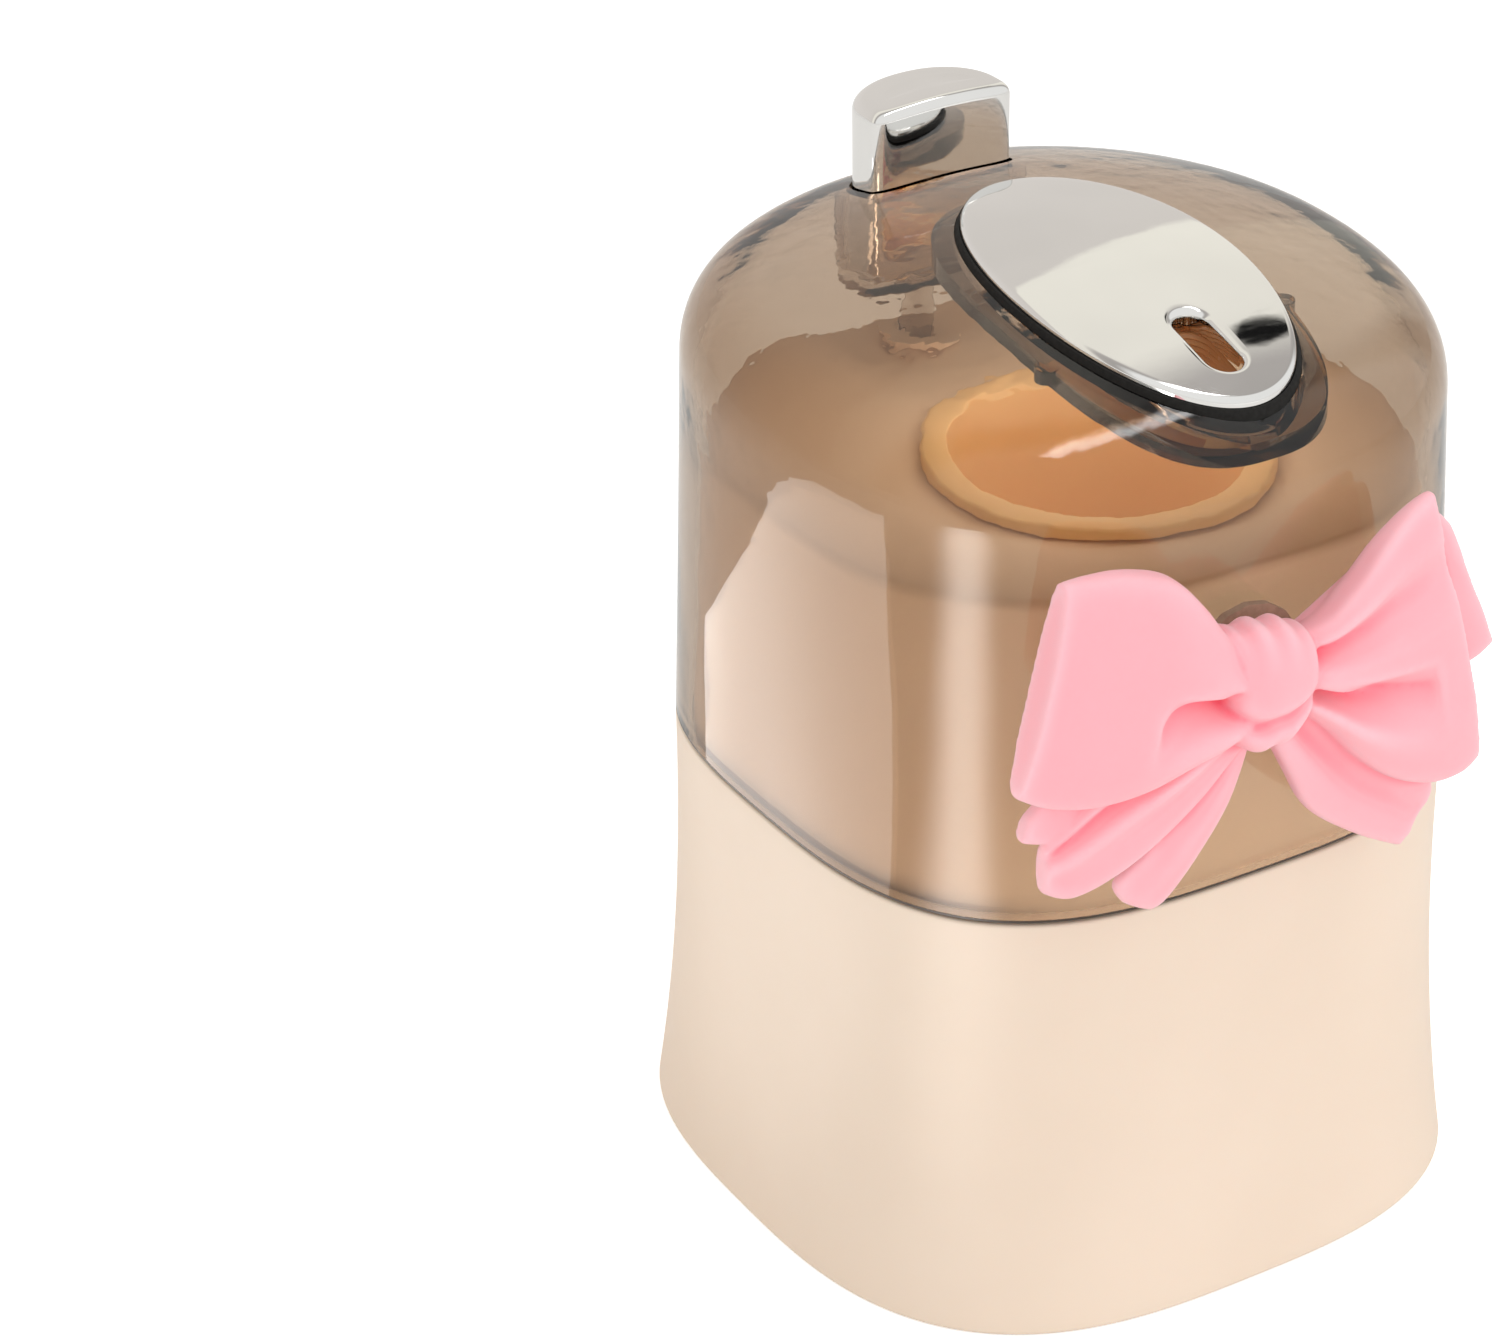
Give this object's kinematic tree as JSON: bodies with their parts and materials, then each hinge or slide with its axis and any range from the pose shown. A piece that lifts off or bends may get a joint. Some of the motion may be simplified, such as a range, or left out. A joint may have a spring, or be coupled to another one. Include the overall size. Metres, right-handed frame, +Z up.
{
  "type": "toothpick dispenser",
  "caption": "Free-standing toothpick dispenser with a flared base, a smoky lift-off cover, a slotted chrome plate, a push button that raises a pick, and a moulded bow.",
  "frame": {"origin": "middle of the underside", "axes": "+Z up, -Y towards the bow, +Y towards the button, +X to the right as seen from the bow's side"},
  "size_m": [0.076, 0.0836, 0.1085],
  "materials": {
    "cream_plastic": "satin",
    "smoky_plastic": "clear gloss",
    "chrome": "mirror",
    "amber_plastic": "gloss",
    "white_plastic": "moulded",
    "steel": "plain",
    "black_rubber": "matt",
    "pink_silicone": "soft matt",
    "pad_foam": "foam"
  },
  "bodies": {
    "base": {"base_shell": "cream_plastic", "bottom_plate": "cream_plastic", "bottom_screw_1": "steel", "bottom_screw_2": "steel", "bottom_screw_3": "steel", "bottom_screw_4": "steel", "frame_screw_1": "steel", "frame_screw_2": "steel", "hopper_box": "cream_plastic", "toothpick_cup": "amber_plastic", "pick_ramp": "white_plastic", "lever_frame": "white_plastic", "pivot_pin": "steel", "rod_bush": "white_plastic", "spring_washer": "steel"},
    "cover": {"cover_shell": "smoky_plastic", "chrome_plate": "chrome", "plate_seal": "black_rubber", "pick_guide": "amber_plastic", "bow": "pink_silicone", "bow_pad": "pad_foam"},
    "button": {"button_cap": "chrome", "button_retainer": "smoky_plastic"},
    "push_rod": {"push_rod": "smoky_plastic", "rod_collar": "white_plastic", "return_spring": "steel"},
    "lever": {"rocker_lever": "white_plastic"},
    "lifter": {"lifter_pin": "white_plastic", "lifter_cap": "white_plastic"}
  },
  "joints": [
    {"name": "cover_lift", "type": "slide", "parent": "base", "child": "cover", "axis": [0, 0, 1], "range_m": [0, 0.05]},
    {"name": "lever_tilt", "type": "hinge", "parent": "base", "child": "lever", "pos_m": [0, 0.014, 0.01221], "axis": [-1, 0, 0], "range_deg": [0, 26.4]},
    {"name": "rod_slide", "type": "slide", "parent": "base", "child": "push_rod", "axis": [0, 0, -1], "range_m": [0, 0.00525], "stiffness_N_per_m": 250, "springref_m": -0.004, "deforming": ["return_spring"]},
    {"name": "lifter_slide", "type": "slide", "parent": "base", "child": "lifter", "axis": [0, 0, 1], "range_m": [0, 0.01485]},
    {"name": "button_press", "type": "slide", "parent": "cover", "child": "button", "axis": [0, 0, -1], "range_m": [0, 0.00525]}
  ],
  "couplings": [
    {"joint": "lever_tilt", "follows": "rod_slide", "rad_per_m": 87.72},
    {"joint": "lifter_slide", "follows": "rod_slide", "ratio": 2.826},
    {"joint": "button_press", "follows": "rod_slide", "ratio": 1}
  ]
}
